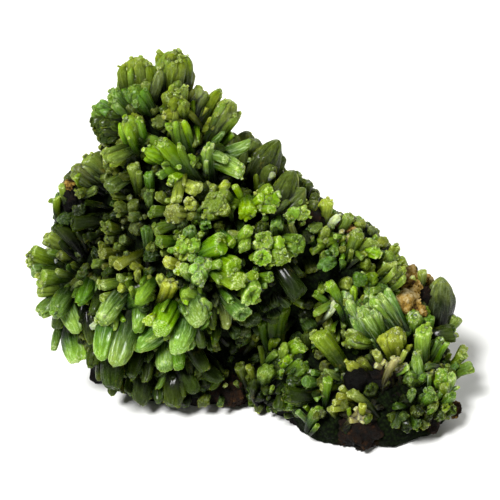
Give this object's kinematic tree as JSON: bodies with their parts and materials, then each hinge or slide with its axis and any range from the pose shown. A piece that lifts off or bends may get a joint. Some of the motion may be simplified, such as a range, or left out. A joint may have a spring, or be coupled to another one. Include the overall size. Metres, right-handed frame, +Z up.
{
  "type": "pyromorphite specimen on limonite matrix",
  "caption": "Mineral specimen: intergrown green hexagonal pyromorphite crystals covering a piece of dark brown limonite rock, cut flat to rest on a shelf.",
  "frame": {"origin": "on the flat that is cut across the bottom of the rock, below the middle of the specimen", "axes": "+X to the right along the specimen's length, from the tall end to the low toe as seen from the front; +Y away from the front; +Z up"},
  "size_m": [0.0701, 0.0414, 0.0566],
  "materials": {
    "limonite": "rough",
    "pyromorphite": "resinous"
  },
  "bodies": {
    "root": {"matrix": "limonite", "crystal_crust": "pyromorphite"}
  },
  "joints": []
}
